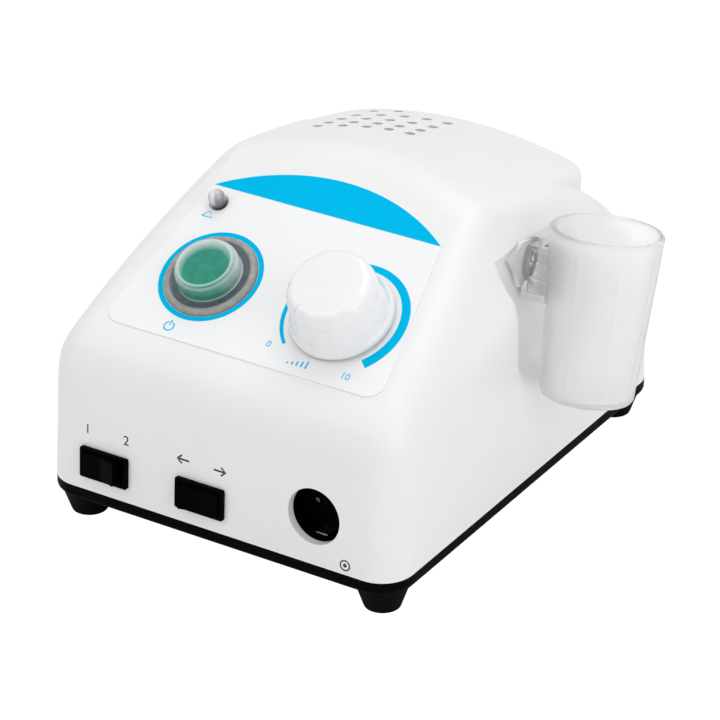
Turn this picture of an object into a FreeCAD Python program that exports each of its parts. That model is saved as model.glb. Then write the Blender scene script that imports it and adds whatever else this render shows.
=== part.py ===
import FreeCAD, Part
import math
import os

os.makedirs("parts", exist_ok=True)
Vec = FreeCAD.Vector

# Nail drill machine: a desktop control box with its motor socket, speed knob and cup holder.
# Millimetres. X to the right, Y to the back, Z up; the front faces -Y.
# The pieces are laid out about the middle of the housing's footprint and then moved, so that
# the origin is the middle of the whole object's footprint, on the surface under the feet.

# Overall sizes
body_width = 120.0
body_depth = 152.6
foot_height = 8.0
base_strip = 4.4
housing_bottom = foot_height + base_strip
wall = 2.6
corner_round = 10.0
half_width = body_width / 2
half_depth = body_depth / 2

# Walls, roof and panel of the housing; the crest keeps its distance from the rear wall.
# Places that follow from other sizes are kept to a hundredth of a millimetre.
side_draft = 1.0
front_lean = 3.5
rear_draft = 1.0
front_round = 20.0
crest_setback = 65.1
crest_y = round(half_depth - crest_setback, 2)
crest_z = 98.1
crest_fall = 9.65
crest_round = 18.0
top_arc = 560.0
crown_radius = 150.0
crown_reach = 75.0

# The panel's plane passes over the crest and starts at the front wall
panel_slope = 28.92
panel_setback = 13.27
panel_over_crest = 4.75
panel_line_y = round(panel_setback - half_depth, 2)
panel_rise = math.tan(math.radians(panel_slope)) * (crest_y - panel_line_y)
panel_line_z = round(crest_z + panel_over_crest - panel_rise, 2)

# Leaning flanks above the side walls
lean_angle = 30.0
lean_distance = 84.2
lean_y = round(crest_y - 7.2, 2)
lean_curve = 330.0
crease_round = 14.0

# Falling rear shoulder, and the hood that stands over it
shoulder_fall = 26.0
shoulder_y = round(crest_y + 18.8, 2)
shoulder_z = 90.8
rear_round = 50.0
hood_half = 42.0
hood_setback = 11.9
hood_rear = round(half_depth - hood_setback, 2)
hood_corner = 9.0
hood_edge = 3.0
hood_start = round(crest_y - 31.2, 2)

# Side scoops for the cup holder
scoop_radius = 25.0
scoop_x = 72.5
scoop_y = round(crest_y + 2.8, 2)
scoop_floor = 41.0
scoop_floor_round = 12.0
scoop_rim_round = 4.0
pad_x = 50.0
dish_radius = 18.5

# Vent holes in the left half of the hood, in bowed rows that open towards the rear
vent_radius = 1.6
vent_columns = 5
vent_rows = 5
vent_left_x = -29.2
vent_pitch_x = 6.9
vent_front_y = round(crest_y + 12.8, 2)
vent_pitch_y = 6.0
vent_growth = 1.18
vent_bow = 62.0
vent_rear_gap = 4.5

# Controls on the sloped panel; u runs to the right, v runs up the slope
panel_u_power = -22.16
panel_v_power = 22.84
panel_u_knob = 23.19
panel_v_knob = 21.96
panel_u_lamp = -33.6
panel_v_lamp = 47.2
label_thickness = 0.35
label_bottom_half = 47.0
label_top_half = 38.7
label_side_v = 52.8
label_top_v = 65.2
label_corner = 5.0

# Power button
boot_radius = 14.0
button_radius = 7.0
button_top = 5.4
bushing_radius = 9.0
bushing_bore = 7.5
bushing_top = 1.0
ring_nut_radius = 11.4

# Speed knob, its shaft and the overload lamp
knob_base_radius = 15.2
knob_top_radius = 11.9
knob_foot = 1.3
knob_height = 16.6
knob_flutes = 12
pointer_angle = -118.0
shaft_radius = 3.0
shaft_bushing_radius = 4.6
lamp_radius = 2.5
lamp_dome_up = 2.8
lead_half = 1.27
lead_end = -16.0

# Controls on the leaning front
rocker_width = 16.4
rocker_height = 9.5
rocker_case_wide = 14.8
rocker_case_high = 8.4
rocker_mid_up = 9.35
mode_x = -37.8
direction_x = -4.6
rocker_tilt = 10.0
well_half = 6.9
paddle_half = 6.1
paddle_side = 3.4
paddle_end = 3.0
pivot_depth = -1.5
jack_x = 33.27
jack_up = 14.9
jack_radius = 8.52
socket_ear = 12.6
ear_angle = 40.0
jack_boss_deep = 6.6
hole_gap = 0.1

# Cup and its holder on the right side
cup_x = 74.0
cup_y = round(scoop_y + 1.15, 2)
cup_z = 89.0
cup_lean = 10.7
cup_rim_radius = 16.5
cup_bottom_radius = 13.55
cup_length = 50.0
cup_wall = 1.3
cup_flutes = 10
flute_radius = 3.0
pivot_y = scoop_y
pivot_z = 74.0
pivot_radius = 4.0
rail_half = 2.0
rail_low = 26.5
rail_high = 40.0
bracket_sheet = 1.4

# Screws, feet and bosses
foot_inset = 9.5
foot_top_radius = 8.0
foot_bottom_radius = 5.6
screw_radius = 1.45
screw_hole = 1.5
head_radius = 2.8
post_radius = 4.0

# Rear connectors, their places measured from the housing's lower edge
inlet_x = -31.0
inlet_up = 18.0
inlet_wide = 26.8
inlet_high = 19.4
fuse_x = 8.0
fuse_up = 18.0
fuse_radius = 6.0
fuse_cap_radius = 5.6
fuse_cap_out = 8.0
foot_jack_x = 34.0
foot_jack_up = 16.0
foot_jack_radius = 5.5
rear_gap = 0.2

# Base and board
floor_thick = 2.6
floor_top = foot_height + floor_thick
lip_gap = 0.3
lip_thick = 1.5
lip_top = 15.6
board_left = 14.0
board_right = 54.0
board_front = -52.0
board_back = 48.0
board_z = 18.0
board_thick = 1.6
board_top = board_z + board_thick
board_hole_inset = 4.0
header_floor = board_top + 4.0
sink_x = 27.5
sink_front = 28.0
tab_thick = 1.2
clamp_up = 14.5

# Transformer
core_left = -33.0
core_right = 1.0
core_front = -16.0
core_back = 50.0
core_foot = 12.6
core_leg = 11.0
core_high = 55.0
frame_sheet = 1.2
frame_mid_x = (core_left + core_right) / 2
core_top = core_foot + core_high
coil_low = core_foot + core_leg
coil_high = core_top - core_leg - 0.4
leg_front = core_front + 2 * core_leg
leg_back = core_back - 2 * core_leg
leg_mid = (leg_front + leg_back) / 2


def export(name, shape):
    shape.exportStep("parts/" + name + ".step")


def polar(radius, angle):
    a = math.radians(angle)
    return Vec(radius * math.cos(a), radius * math.sin(a), 0)


def rounded_wire(points, radii):
    """Closed wire through the points with tangent arcs of the given radii."""
    count = len(points)
    starts, ends, arcs = [], [], []
    for i in range(count):
        a, b, c = points[i - 1], points[i], points[(i + 1) % count]
        if radii[i] <= 0:
            starts.append(b)
            ends.append(b)
            arcs.append(None)
            continue
        u = (a - b).normalize()
        v = (c - b).normalize()
        half = u.getAngle(v) / 2
        reach = radii[i] / math.tan(half)
        middle = b + (u + v).normalize() * (radii[i] / math.sin(half) - radii[i])
        starts.append(b + u * reach)
        ends.append(b + v * reach)
        arcs.append(Part.Arc(starts[i], middle, ends[i]).toShape())
    edges = []
    for i in range(count):
        if arcs[i]:
            edges.append(arcs[i])
        nxt = starts[(i + 1) % count]
        if (ends[i] - nxt).Length > 1e-6:
            edges.append(Part.makeLine(ends[i], nxt))
    return Part.Wire(edges)


def plate(width, depth, height, radius, x=0.0, y=0.0, z=0.0):
    """Upright block with rounded vertical corners, centred on x, y, standing on z."""
    w, d = width / 2, depth / 2
    corners = [Vec(x - w, y - d, z), Vec(x + w, y - d, z), Vec(x + w, y + d, z), Vec(x - w, y + d, z)]
    return Part.Face(rounded_wire(corners, [radius] * 4)).extrude(Vec(0, 0, height))


def box(x0, x1, y0, y1, z0, z1):
    return Part.makeBox(x1 - x0, y1 - y0, z1 - z0, Vec(x0, y0, z0))


def rod(radius, z0, z1, x=0.0, y=0.0):
    return Part.makeCylinder(radius, z1 - z0, Vec(x, y, z0))


def ring(outer, inner, z0, z1, x=0.0, y=0.0):
    return rod(outer, z0, z1, x, y).cut(rod(inner, z0 - 1, z1 + 1, x, y))


def hexagon(across_flats, z0, z1):
    r = across_flats / math.sqrt(3)
    points = [polar(r, 60 * i) + Vec(0, 0, z0) for i in range(7)]
    return Part.Face(Part.makePolygon(points)).extrude(Vec(0, 0, z1 - z0))


def turned(points):
    """Solid of revolution about Z from a closed outline of (radius, height) pairs."""
    path = [Vec(r, 0, h) for r, h in points]
    return Part.Face(Part.makePolygon(path + [path[0]])).revolve(Vec(0, 0, 0), Vec(0, 0, 1), 360)


def fuse_all(shapes):
    out = shapes[0]
    for s in shapes[1:]:
        out = out.fuse(s)
    return out.removeSplitter()


def group(shapes):
    return Part.makeCompound(shapes)


def tube_along(points, radius):
    """Round wire that follows straight runs with a ball at each bend."""
    parts = []
    for a, b in zip(points[:-1], points[1:]):
        parts.append(Part.makeCylinder(radius, (b - a).Length, a, b - a))
    for p in points[1:-1]:
        parts.append(Part.makeSphere(radius, p))
    return fuse_all(parts)


def middle(edge):
    return edge.valueAt((edge.FirstParameter + edge.LastParameter) / 2)


def is_sharp(shape, edge):
    """True where the two faces beside the edge meet at an angle."""
    normals = []
    for face in shape.Faces:
        if any(edge.isSame(e) for e in face.Edges):
            u, v = face.Surface.parameter(middle(edge))
            normals.append(face.normalAt(u, v))
    return len(normals) == 2 and normals[0].getAngle(normals[1]) > 0.12


# Frames: local x to the right, local y up the face, local z out of the face
def panel_frame(u=0.0, v=0.0, h=0.0):
    turn = FreeCAD.Rotation(Vec(1, 0, 0), panel_slope)
    base = Vec(0, panel_line_y, panel_line_z)
    return FreeCAD.Placement(base + turn.multVec(Vec(u, v, h)), turn)


def front_frame(x=0.0, up=0.0, out=0.0):
    turn = FreeCAD.Rotation(Vec(1, 0, 0), 90 - front_lean)
    base = Vec(0, -half_depth, housing_bottom)
    return FreeCAD.Placement(base + turn.multVec(Vec(x, up, out)), turn)


def rear_frame(x=0.0, up=0.0, out=0.0):
    turn = FreeCAD.Rotation(Vec(0, 0, 1), 180).multiply(FreeCAD.Rotation(Vec(1, 0, 0), 90 - rear_draft))
    base = Vec(0, half_depth, housing_bottom)
    return FreeCAD.Placement(base + turn.multVec(Vec(-x, up, out)), turn)


def placed(shape, frame):
    out = shape.copy()
    out.Placement = frame.multiply(out.Placement)
    return out


# Housing surfaces; the inset gives the inner skin of the same shape
def side_profile(inset):
    """Front, panel and rear outline in the YZ plane."""
    lean = math.tan(math.radians(front_lean))
    slope = math.tan(math.radians(panel_slope))
    draft = math.tan(math.radians(rear_draft))
    low = housing_bottom - 5 * (inset > 0)
    top = 120.0
    y_front = -half_depth + inset / math.cos(math.radians(front_lean))
    line_z = panel_line_z - inset / math.cos(math.radians(panel_slope))
    z_corner = line_z + slope * (y_front - housing_bottom * lean - panel_line_y)
    z_corner = z_corner / (1 - slope * lean)
    y_rear = half_depth - inset
    yz = [(y_front + (low - housing_bottom) * lean, low)]
    yz.append((y_front + (z_corner - housing_bottom) * lean, z_corner))
    yz.append((panel_line_y + (top - line_z) / slope, top))
    yz.append((y_rear - (top - housing_bottom) * draft, top))
    yz.append((y_rear + (housing_bottom - low) * draft, low))
    wire = rounded_wire([Vec(-80, y, z) for y, z in yz], [0, front_round - inset, 0, 0, 0])
    return Part.Face(wire).extrude(Vec(160, 0, 0))


def side_walls(inset):
    draft = math.tan(math.radians(side_draft))
    low, top = housing_bottom - 6, 130.0
    wide = half_width - inset + (housing_bottom - low) * draft
    slim = half_width - inset - (top - housing_bottom) * draft
    path = [Vec(-wide, -100, low), Vec(wide, -100, low), Vec(slim, -100, top), Vec(-slim, -100, top)]
    return Part.Face(Part.makePolygon(path + [path[0]])).extrude(Vec(0, 200, 0))


def crown(inset):
    """Everything below the long arc of the roof, which is also crowned from side to side."""
    fall = math.radians(crest_fall)
    centre = Vec(0, crest_y - top_arc * math.sin(fall), crest_z - top_arc * math.cos(fall))
    reach, deep = crown_reach, 200.0
    top = top_arc - inset
    sag = crown_radius - math.sqrt(crown_radius ** 2 - reach ** 2)
    a, m, b = Vec(-reach, 0, top - sag), Vec(0, 0, top), Vec(reach, 0, top - sag)
    c, d = Vec(reach, 0, top - deep), Vec(-reach, 0, top - deep)
    edges = [Part.Arc(a, m, b).toShape(), Part.makeLine(b, c), Part.makeLine(c, d), Part.makeLine(d, a)]
    face = Part.Face(Part.Wire(edges))
    face.rotate(Vec(0, 0, 0), Vec(1, 0, 0), 12)
    solid = face.revolve(Vec(0, 0, 0), Vec(1, 0, 0), -36)
    solid.translate(centre)
    return solid


def leaning_side(inset, side):
    """Inside of the long curved flank that leans in above the side wall."""
    a = math.radians(lean_angle)
    normal = Vec(side * math.cos(a), 0, math.sin(a))
    upward = Vec(-side * math.sin(a), 0, math.cos(a))
    foot = normal * (lean_distance - lean_curve) + Vec(0, lean_y, 0) - upward * 300
    drum = Part.makeCylinder(lean_curve - inset, 900, foot, upward)
    seam = [e for e in drum.Edges if e.Curve.TypeId == "Part::GeomLine"][0]
    if (middle(seam) - foot).dot(normal) > 0:
        drum.rotate(foot, upward, 180)
    if abs((middle(seam) - foot).dot(normal)) < lean_curve / 2:
        drum.rotate(foot, upward, 90)
    return drum


def rear_shoulder(inset):
    """Region above the falling shoulder and behind its long rear round."""
    fall = math.tan(math.radians(shoulder_fall))
    draft = math.tan(math.radians(rear_draft))
    line_z = shoulder_z - inset / math.cos(math.radians(shoulder_fall)) + fall * shoulder_y
    y_wall = half_depth - inset + housing_bottom * draft
    y_meet = (y_wall - draft * line_z) / (1 - draft * fall)
    z_meet = line_z - fall * y_meet
    y_fore = shoulder_y - 15
    z_low = z_meet - 60
    yz = [(y_fore, line_z - fall * y_fore), (y_meet, z_meet), (y_wall - draft * z_low, z_low)]
    yz += [(130, z_low), (130, 140), (y_fore, 140)]
    wire = rounded_wire([Vec(-90, y, z) for y, z in yz], [0, rear_round - inset, 0, 0, 0, 0])
    return Part.Face(wire).extrude(Vec(180, 0, 0))


def hood_column(inset):
    h, back, r = hood_half - inset, hood_rear - inset, hood_corner - inset
    path = [Vec(-h, hood_start, 40), Vec(h, hood_start, 40), Vec(h, back, 40), Vec(-h, back, 40)]
    return Part.Face(rounded_wire(path, [0, 0, r, r])).extrude(Vec(0, 0, 100))


def crested_block(inset):
    block = side_profile(inset).common(side_walls(inset)).common(crown(inset))
    for side in (-1, 1):
        block = block.common(leaning_side(inset, side))
    return block


def round_crest(block, inset):
    crest = [e for e in block.Edges if abs(middle(e).x) < 0.01 and -16.2 < middle(e).y - crest_y < 3.8]
    crest = [e for e in crest if middle(e).z > 90]
    return block.makeFillet(crest_round - inset, crest)


def skin(inset):
    """Whole outer form without openings, moved inwards by the inset."""
    block = crested_block(inset)
    hood = round_crest(block, inset).common(hood_column(inset))
    rim = [e for e in hood.Edges if middle(e).z > 75 and middle(e).y > crest_y + 4 and is_sharp(hood, e)]
    if inset < hood_edge - 1:
        hood = hood.makeFillet(hood_edge - inset, rim)
    low = round_crest(block.cut(rear_shoulder(inset)), inset)
    flank = [e for e in low.Edges if abs(middle(e).x) > 52 and middle(e).z > 55]
    flank = [e for e in flank if abs(middle(e).y) < 40 and is_sharp(low, e)]
    flank = [e for e in flank if e.Length > 80]
    low = low.makeFillet(crease_round - inset, flank)
    chain = [e for e in low.Edges if middle(e).z > 15 and abs(middle(e).x) > 20 and is_sharp(low, e)]
    low = low.makeFillet(corner_round - inset, chain)
    return low.fuse(hood).removeSplitter()


def scoop(side, extra):
    """Upright drum that hollows the flank beside the cup, with a flat round seat for the holder."""
    drum = rod(scoop_radius + extra, scoop_floor - extra, 120, side * scoop_x, scoop_y)
    foot = [e for e in drum.Edges if abs(middle(e).z - scoop_floor + extra) < 0.01]
    drum = drum.makeFillet(scoop_floor_round + extra, foot)
    face = pad_x - extra
    if extra == 0:
        inner, outer = side * (pad_x - 10), side * pad_x
        drum = drum.cut(box(min(inner, outer), max(inner, outer), -20, 50, 30, 130))
    dish = Part.makeCylinder(dish_radius + extra, 30, Vec(side * face, pivot_y, pivot_z), Vec(side, 0, 0))
    return drum.fuse(dish)


def soften_scoops(block):
    """Rounds the rims of both scoops where they leave the flank."""
    rims = []
    for e in block.Edges:
        m = middle(e)
        near = abs(m.x) > pad_x + 0.5 and abs(m.y - scoop_y) < 30 and m.z > 30
        if near and is_sharp(block, e):
            rims.append(e)
    return block.makeFillet(scoop_rim_round, rims)


def vent_pins():
    """Upright pins for the vent holes, in bowed rows that open towards the rear."""
    pins = []
    for i in range(vent_columns):
        x = vent_left_x + vent_pitch_x * i
        bow = math.sqrt(vent_bow ** 2 - x ** 2) - math.sqrt(vent_bow ** 2 - vent_left_x ** 2)
        y = vent_front_y + bow
        for j in range(vent_rows):
            if y < hood_rear - vent_rear_gap:
                pins.append(rod(vent_radius, 70, 110, x, y))
            y += vent_pitch_y * vent_growth ** j
    return pins


def foot_spots():
    x, y = half_width - foot_inset, half_depth - foot_inset
    return [(-x, -y), (x, -y), (x, y), (-x, y)]


def ear_spots():
    return [polar(socket_ear, ear_angle), polar(-socket_ear, ear_angle)]


def upper_housing():
    outer, cavity = skin(0.0), skin(wall)
    for side in (-1, 1):
        outer = outer.cut(scoop(side, 0.0))
        cavity = cavity.cut(scoop(side, wall))
    outer = soften_scoops(outer)
    solid = outer.cut(cavity)
    posts = [rod(post_radius, housing_bottom, 100, x, y) for x, y in foot_spots()]
    solid = solid.fuse([p.common(outer) for p in posts])
    for p in ear_spots():
        stub = rod(2.6, -jack_boss_deep, -wall + 0.6)
        solid = solid.fuse(placed(stub, front_frame(jack_x + p.x, jack_up + p.y)))
    cuts = [rod(screw_hole, 0, 27, x, y) for x, y in foot_spots()]
    cuts += vent_pins()
    cuts.append(placed(rod(bushing_radius + 0.2, -9, 6), panel_frame(panel_u_power, panel_v_power)))
    shaft_hole = rod(shaft_bushing_radius + hole_gap, -9, 6)
    cuts.append(placed(shaft_hole, panel_frame(panel_u_knob, panel_v_knob)))
    cuts.append(placed(rod(lamp_radius + hole_gap, -9, 6), panel_frame(panel_u_lamp, panel_v_lamp)))
    for x in (mode_x, direction_x):
        w, h = rocker_case_wide / 2 + hole_gap, rocker_case_high / 2 + hole_gap
        slot = box(-w, w, -h, h, -8, 8)
        cuts.append(placed(slot, front_frame(x, rocker_mid_up)))
    cuts.append(placed(rod(jack_radius, -8, 6), front_frame(jack_x, jack_up)))
    for p in ear_spots():
        cuts.append(placed(rod(1.25, -8, -3.4), front_frame(jack_x + p.x, jack_up + p.y)))
    w, h = inlet_wide + 2 * rear_gap, inlet_high + 2 * rear_gap
    cuts.append(placed(plate(w, h, 14, 4, 0, 0, -8), rear_frame(inlet_x, inlet_up)))
    cuts.append(placed(rod(fuse_radius + rear_gap, -8, 6), rear_frame(fuse_x, fuse_up)))
    jack_hole = rod(foot_jack_radius + rear_gap, -8, 6)
    cuts.append(placed(jack_hole, rear_frame(foot_jack_x, foot_jack_up)))
    pivot = Part.makeCylinder(pivot_radius + 0.05, 30, Vec(35, pivot_y, pivot_z), Vec(1, 0, 0))
    cuts.append(pivot)
    for c in cuts:
        solid = solid.cut(c)
    return solid


# Base, board and transformer
def board_spots():
    x0, x1 = board_left + board_hole_inset, board_right - board_hole_inset
    y0, y1 = board_front + board_hole_inset, board_back - board_hole_inset
    return [(x0, y0), (x1, y0), (x1, y1), (x0, y1)]


def frame_spots():
    return [(frame_mid_x, core_front - 6.5), (frame_mid_x, core_back + 6.5)]


def base_plate():
    tray = plate(body_width, body_depth, base_strip, corner_round, 0, 0, foot_height)
    low = [e for e in tray.Edges if abs(middle(e).z - foot_height) < 0.01]
    tray = tray.makeFillet(1.8, low)
    shrink = 2 * (wall + lip_gap)
    lip = plate(body_width - shrink, body_depth - shrink, lip_top - foot_height - 2,
                corner_round - shrink / 2, 0, 0, foot_height + 2)
    shrink = shrink + 2 * lip_thick
    hollow = plate(body_width - shrink, body_depth - shrink, 20, corner_round - shrink / 2, 0, 0, floor_top)
    tray = tray.fuse(lip).cut(hollow)
    adds = [rod(post_radius, floor_top - 1, housing_bottom, x, y) for x, y in foot_spots()]
    adds += [rod(3.2, floor_top - 1, board_z, x, y) for x, y in board_spots()]
    adds += [rod(5.0, floor_top - 1, core_foot, x, y) for x, y in frame_spots()]
    tray = tray.fuse(adds)
    clear = [rod(screw_hole, 0, 20, x, y) for x, y in foot_spots()]
    clear += [rod(1.3, floor_top - 1.2, board_z + 1, x, y) for x, y in board_spots()]
    clear += [rod(1.75, foot_height + 0.6, 20, x, y) for x, y in frame_spots()]
    for i in range(7):
        x = frame_mid_x - 18 + 6 * i
        clear.append(plate(2.6, 30, 10, 1.2, x, 17, 5))
        clear.append(plate(2.6, 22, 10, 1.2, x + 50, 0, 5))
    for c in clear:
        tray = tray.cut(c)
    return tray


def rubber_feet():
    outline = [(1.7, 3.4), (3.5, 3.4), (3.5, 0.4), (3.9, 0.0), (4.7, 0.0), (5.3, 0.3)]
    outline += [(foot_bottom_radius, 1.0), (foot_top_radius, foot_height), (1.7, foot_height)]
    feet = []
    for x, y in foot_spots():
        foot = turned(outline)
        foot.translate(Vec(x, y, 0))
        feet.append(foot)
    return group(feet)


def pan_screw(radius, head, length, up):
    """Screw with its seat at z = 0; the shank runs to -up * length, the head the other way."""
    shank = Part.makeCylinder(radius, length, Vec(0, 0, 0), Vec(0, 0, -up))
    cap = Part.makeCylinder(head, 0.8 * head, Vec(0, 0, 0), Vec(0, 0, up))
    cross = box(-head * 0.6, head * 0.6, -0.35, 0.35, -0.5, 0.5)
    cross = cross.fuse(box(-0.35, 0.35, -head * 0.6, head * 0.6, -0.5, 0.5))
    cross.translate(Vec(0, 0, up * 0.8 * head))
    return shank.fuse(cap).removeSplitter().cut(cross)


def foot_screws():
    screws = []
    for x, y in foot_spots():
        s = pan_screw(screw_radius, head_radius, 20, -1)
        s.translate(Vec(x, y, 3.4))
        screws.append(s)
    return group(screws)


def board_screws():
    """Four screws in the board's corners and one that holds the transistor to its heat sink."""
    screws = []
    for x, y in board_spots():
        s = pan_screw(1.25, 2.5, 8.5, 1)
        s.translate(Vec(x, y, board_top))
        screws.append(s)
    clamp = pan_screw(1.25, 2.4, 4.0, 1)
    clamp.rotate(Vec(0, 0, 0), Vec(1, 0, 0), 90)
    clamp.translate(Vec(sink_x, sink_front - tab_thick, board_top + clamp_up))
    return group(screws + [clamp])


def transformer_screws():
    screws = []
    for x, y in frame_spots():
        s = pan_screw(1.7, 3.4, 4.6, 1)
        s.translate(Vec(x, y, core_foot + frame_sheet))
        screws.append(s)
    return group(screws)


# Sloped panel
def label_outline(shrink, h):
    a = [Vec(-label_bottom_half + shrink, shrink, h), Vec(label_bottom_half - shrink, shrink, h)]
    b = [Vec(label_top_half - shrink, label_side_v, h), Vec(-label_top_half + shrink, label_side_v, h)]
    top = Part.Arc(b[0], Vec(0, label_top_v - shrink, h), b[1]).toShape()
    path = rounded_wire(a + b, [label_corner, label_corner, 0, 0])
    edges = [e for e in path.Edges if abs(middle(e).y - label_side_v) > 0.01]
    return Part.Wire(Part.__sortEdges__(edges + [top]))


def panel_label():
    sheet = Part.Face(label_outline(0.0, 0.0)).extrude(Vec(0, 0, label_thickness))
    sheet = sheet.cut(rod(boot_radius + 0.2, -1, 2, panel_u_power, panel_v_power))
    sheet = sheet.cut(rod(8.0, -1, 2, panel_u_knob, panel_v_knob))
    sheet = sheet.cut(rod(lamp_radius + 0.5, -1, 2, panel_u_lamp, panel_v_lamp))
    return placed(sheet, panel_frame())


def button_boot():
    rim = boot_radius
    outline = [(rim, 0.0), (rim, 1.5), (rim - 0.4, 2.2), (rim - 1.1, 2.5)]
    outline += [(rim - 1.8, 2.2), (rim - 2.2, 1.4)]
    outline += [(10.5, 1.4), (10.3, 2.0), (8.5, 6.0), (8.0, 6.6), (7.3, 6.9), (0, 7.0)]
    outline += [(0, 5.9), (7.2, 5.8), (7.6, 5.5), (9.6, 1.6), (9.6, bushing_top + 0.05)]
    outline += [(ring_nut_radius + 0.1, bushing_top + 0.05), (ring_nut_radius + 0.1, 0.0)]
    return placed(turned(outline), panel_frame(panel_u_power, panel_v_power))


def button_cap():
    outline = [(0, button_top), (6.0, button_top), (6.7, 5.1), (button_radius, 4.5), (button_radius, -5.0)]
    outline += [(2.5, -5.0), (2.5, -12.0), (0, -12.0)]
    return placed(turned(outline), panel_frame(panel_u_power, panel_v_power))


def power_switch_body():
    case = rod(11.0, -23, -wall).fuse(rod(bushing_radius, -10, bushing_top)).removeSplitter()
    case = case.cut(rod(bushing_bore, -11.5, 5)).cut(rod(2.8, -16.5, 0))
    case = case.cut(box(9.6, 14, -20, 20, -30, -wall - 3)).cut(box(-14, -9.6, -20, 20, -30, -wall - 3))
    return placed(case, panel_frame(panel_u_power, panel_v_power))


def switch_ring_nut():
    nut = ring(ring_nut_radius, bushing_radius, 0.0, bushing_top)
    for i in range(6):
        notch = box(10.2, 12, -0.6, 0.6, 0.4, 3)
        notch.rotate(Vec(0, 0, 0), Vec(0, 0, 1), 60 * i)
        nut = nut.cut(notch)
    return placed(nut, panel_frame(panel_u_power, panel_v_power))


def button_spring():
    turns, wire, radius = 4.5, 0.35, 4.6
    low, high = -11.5 + wire, -5.0 - wire
    helix = Part.makeHelix((high - low) / turns, high - low, radius)
    start = Vec(radius, 0, 0)
    profile = Part.Wire([Part.makeCircle(wire, start, Vec(0, 1, 0))])
    coil = Part.Wire(helix.Edges).makePipeShell([profile], True, True)
    coil.translate(Vec(0, 0, low))
    return placed(coil, panel_frame(panel_u_power, panel_v_power))


def switch_terminals():
    blades = []
    for x, y in ((-5, -4), (5, -4), (-5, 4), (5, 4)):
        blade = box(x - 1.4, x + 1.4, y - 0.4, y + 0.4, -30, -23)
        blades.append(blade.cut(Part.makeCylinder(0.6, 4, Vec(x, y - 2, -28), Vec(0, 1, 0))))
    return placed(group(blades), panel_frame(panel_u_power, panel_v_power))


def speed_knob():
    outline = [(0, knob_height), (knob_top_radius - 0.6, knob_height), (knob_top_radius, 16.2)]
    outline += [(12.3, 15.4), (14.1, 4.4), (14.4, 3.6), (knob_base_radius, 3.2)]
    outline += [(knob_base_radius, knob_foot), (13.0, knob_foot), (13.0, 3.4), (10.8, 13.2)]
    outline += [(6.0, 13.2), (6.0, 4.6), (0, 4.6)]
    knob = turned(outline)
    for i in range(knob_flutes):
        a = pointer_angle + 360 / knob_flutes * (i + 0.5)
        foot, head = polar(20.2, a) + Vec(0, 0, 3.6), polar(17.9, a) + Vec(0, 0, 18)
        knob = knob.cut(Part.makeCylinder(6.2, (head - foot).Length, foot, head - foot))
    groove = box(5.5, 16, -0.55, 0.55, knob_height - 0.9, 20)
    side = box(11.0, 16, -0.55, 0.55, 3.8, 20)
    slant = turned([(0, 20), (11.2, 20), (11.2, 15.8), (13.2, 3.8), (0, 3.8)])
    for mark in (groove, side.cut(slant)):
        mark.rotate(Vec(0, 0, 0), Vec(0, 0, 1), pointer_angle)
        knob = knob.cut(mark)
    knob = knob.cut(rod(shaft_radius + 0.04, 0, 13.6))
    knob = knob.cut(Part.makeCylinder(1.35, 16, Vec(0, 0, 9), polar(1, 90)))
    return placed(knob, panel_frame(panel_u_knob, panel_v_knob))


def knob_set_screw():
    grub = Part.makeCylinder(1.3, 4.2, polar(shaft_radius, 90) + Vec(0, 0, 9), polar(1, 90))
    slot = box(-0.25, 0.25, 6.4, 8, 7, 11)
    return placed(grub.cut(slot), panel_frame(panel_u_knob, panel_v_knob))


def speed_shaft():
    shaft = rod(shaft_radius, -4.5, 13.2).fuse(rod(4.4, -6.0, -4.5)).removeSplitter()
    return placed(shaft, panel_frame(panel_u_knob, panel_v_knob))


def potentiometer_body():
    can = rod(12.0, -12.5, -wall).fuse(rod(shaft_bushing_radius, -4, 4.0)).removeSplitter()
    can = can.cut(rod(shaft_radius + 0.05, -5, 6)).cut(rod(4.6, -6.2, -4.4))
    can = can.fuse(box(-8, 8, -17, -9, -9.5, -6.5)).removeSplitter()
    return placed(can, panel_frame(panel_u_knob, panel_v_knob))


def potentiometer_terminals():
    tags = [box(x - 0.8, x + 0.8, -20, -14, -10.0, -9.5) for x in (-5, 0, 5)]
    return placed(group(tags), panel_frame(panel_u_knob, panel_v_knob))


def potentiometer_washer():
    return placed(ring(7.4, shaft_bushing_radius + 0.05, 0.0, 0.6), panel_frame(panel_u_knob, panel_v_knob))


def potentiometer_nut():
    nut = hexagon(12.0, 0.6, 2.8).cut(rod(shaft_bushing_radius, 0, 4))
    return placed(nut, panel_frame(panel_u_knob, panel_v_knob))


def overload_lamp():
    dome = Part.makeSphere(lamp_radius, Vec(0, 0, lamp_dome_up))
    lens = rod(lamp_radius, -5.0, lamp_dome_up).fuse(dome).fuse(rod(lamp_radius + 0.4, -6.0, -5.0))
    legs = [rod(0.3, lead_end, -5.5, x, 0) for x in (-lead_half, lead_half)]
    return placed(fuse_all([lens] + legs), panel_frame(panel_u_lamp, panel_v_lamp))


def lamp_clip():
    clip = ring(4.6, lamp_radius + 0.05, -4.95, -wall)
    clip = clip.fuse(ring(4.6, lamp_radius + 0.45, -7.5, -4.95)).removeSplitter()
    return placed(clip, panel_frame(panel_u_lamp, panel_v_lamp))


# Rocker switches; the rest position is one end pressed in
def rocker_body(x):
    case = plate(rocker_width, rocker_height, 1.2, 0.6)
    case = case.fuse(plate(rocker_case_wide, rocker_case_high, 16, 0.4, 0, 0, -16)).removeSplitter()
    case = case.cut(box(-well_half, well_half, -3.6, 3.6, -9, 2))
    axle = Part.makeCylinder(0.86, 8.1, Vec(0, -4.05, pivot_depth), Vec(0, 1, 0))
    return placed(case.cut(axle), front_frame(x, rocker_mid_up))


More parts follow.
